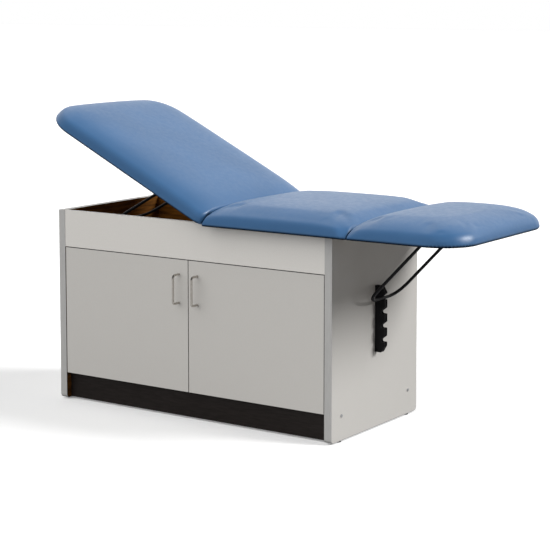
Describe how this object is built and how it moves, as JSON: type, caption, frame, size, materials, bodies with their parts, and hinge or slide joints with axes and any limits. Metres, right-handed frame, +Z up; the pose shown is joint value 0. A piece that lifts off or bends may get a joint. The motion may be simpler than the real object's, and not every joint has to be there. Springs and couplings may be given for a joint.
{
  "type": "medical exam table",
  "caption": "Wooden cabinet exam table with two doors, a padded top in hinged back, seat and leg sections, and wire props that hold the raised back and leg rest in notched racks.",
  "frame": {"origin": "on the floor, under the middle of the outline seen from above, with the back raised as it stands at rest", "axes": "+X from the head end to the foot end, the doors face -Y, +Z up"},
  "size_m": [1.7202, 0.686, 1.1164],
  "materials": {
    "pad_vinyl": "smooth slate-blue upholstery vinyl over foam",
    "cabinet_laminate": "satin warm-grey laminate on board",
    "edge_band": "silver-grey edge band",
    "raw_board": "unfaced brown board",
    "kick_board": "dark brown board",
    "section_board": "plywood",
    "black_steel": "black satin paint",
    "handle_steel": "brushed nickel",
    "zinc_steel": "zinc plate",
    "glide_plastic": "black plastic"
  },
  "bodies": {
    "cabinet": {"left_end_panel": "cabinet_laminate", "right_end_panel": "cabinet_laminate", "left_panel_edging": "edge_band", "right_panel_edging": "edge_band", "back_panel": "raw_board", "bottom_deck": "raw_board", "well_deck": "raw_board", "front_apron": "cabinet_laminate", "toe_kick": "kick_board", "seat_cross_rail": "raw_board", "seat_board": "section_board", "seat_pad": "pad_vinyl", "back_hinge_seat_leaf": "zinc_steel", "back_hinge_pin": "zinc_steel", "leg_hinge_seat_leaf": "zinc_steel", "leg_hinge_pin": "zinc_steel", "leg_rack": "black_steel", "back_rack": "black_steel", "left_lower_door_hinge_arm": "zinc_steel", "left_upper_door_hinge_arm": "zinc_steel", "left_front_glide": "glide_plastic", "left_front_panel_screw": "zinc_steel", "left_rear_glide": "glide_plastic", "left_rear_panel_screw": "zinc_steel", "right_lower_door_hinge_arm": "zinc_steel", "right_upper_door_hinge_arm": "zinc_steel", "right_front_glide": "glide_plastic", "right_front_panel_screw": "zinc_steel", "right_rear_glide": "glide_plastic", "right_rear_panel_screw": "zinc_steel"},
    "backrest": {"back_pad": "pad_vinyl", "back_board": "section_board", "back_hinge_moving_leaf": "zinc_steel", "back_prop_front_bracket": "black_steel", "back_prop_rear_bracket": "black_steel"},
    "back_prop_rod": {"back_prop": "black_steel"},
    "leg_rest": {"leg_pad": "pad_vinyl", "leg_board": "section_board", "leg_hinge_moving_leaf": "zinc_steel", "leg_prop_front_bracket": "black_steel", "leg_prop_rear_bracket": "black_steel"},
    "leg_prop_rod": {"leg_prop": "black_steel"},
    "left_door": {"left_door": "cabinet_laminate", "left_door_handle": "handle_steel", "left_lower_door_hinge_cup": "zinc_steel", "left_upper_door_hinge_cup": "zinc_steel"},
    "left_door_links": {"left_lower_door_hinge_link": "zinc_steel", "left_upper_door_hinge_link": "zinc_steel"},
    "right_door": {"right_door": "cabinet_laminate", "right_door_handle": "handle_steel", "right_lower_door_hinge_cup": "zinc_steel", "right_upper_door_hinge_cup": "zinc_steel"},
    "right_door_links": {"right_lower_door_hinge_link": "zinc_steel", "right_upper_door_hinge_link": "zinc_steel"}
  },
  "joints": [
    {"name": "backrest_tilt", "type": "hinge", "parent": "cabinet", "child": "backrest", "pos_m": [-0.143, 0, 0.706], "axis": [0, 1, 0], "range_deg": [-26, 26]},
    {"name": "back_prop_pivot", "type": "hinge", "parent": "backrest", "child": "back_prop_rod", "pos_m": [-0.4054, 0, 0.82953], "axis": [0, 1, 0], "range_deg": [-51, 51]},
    {"name": "leg_rest_fold", "type": "hinge", "parent": "cabinet", "child": "leg_rest", "pos_m": [0.445, 0, 0.706], "axis": [0, 1, 0], "range_deg": [0, 90]},
    {"name": "leg_prop_pivot", "type": "hinge", "parent": "leg_rest", "child": "leg_prop_rod", "pos_m": [0.627, 0, 0.702], "axis": [0, 1, 0], "range_deg": [-132, 1]},
    {"name": "left_door_swing", "type": "hinge", "parent": "cabinet", "child": "left_door", "pos_m": [-0.7999, -0.286, 0.338], "axis": [0, 0, -1], "range_deg": [0, 95]},
    {"name": "left_door_link_fold", "type": "hinge", "parent": "left_door", "child": "left_door_links", "pos_m": [-0.7759, -0.262, 0.338], "axis": [0, 0, -1], "range_deg": [-95, 1]},
    {"name": "right_door_swing", "type": "hinge", "parent": "cabinet", "child": "right_door", "pos_m": [0.3319, -0.286, 0.338], "axis": [0, 0, 1], "range_deg": [0, 95]},
    {"name": "right_door_link_fold", "type": "hinge", "parent": "right_door", "child": "right_door_links", "pos_m": [0.3079, -0.262, 0.338], "axis": [0, 0, 1], "range_deg": [-95, 1]}
  ],
  "couplings": [
    {"joint": "back_prop_pivot", "follows": "backrest_tilt", "ratio": -1.8302},
    {"joint": "leg_prop_pivot", "follows": "leg_rest_fold", "ratio": -1.4589},
    {"joint": "left_door_link_fold", "follows": "left_door_swing", "ratio": -1},
    {"joint": "right_door_link_fold", "follows": "right_door_swing", "ratio": -1}
  ]
}
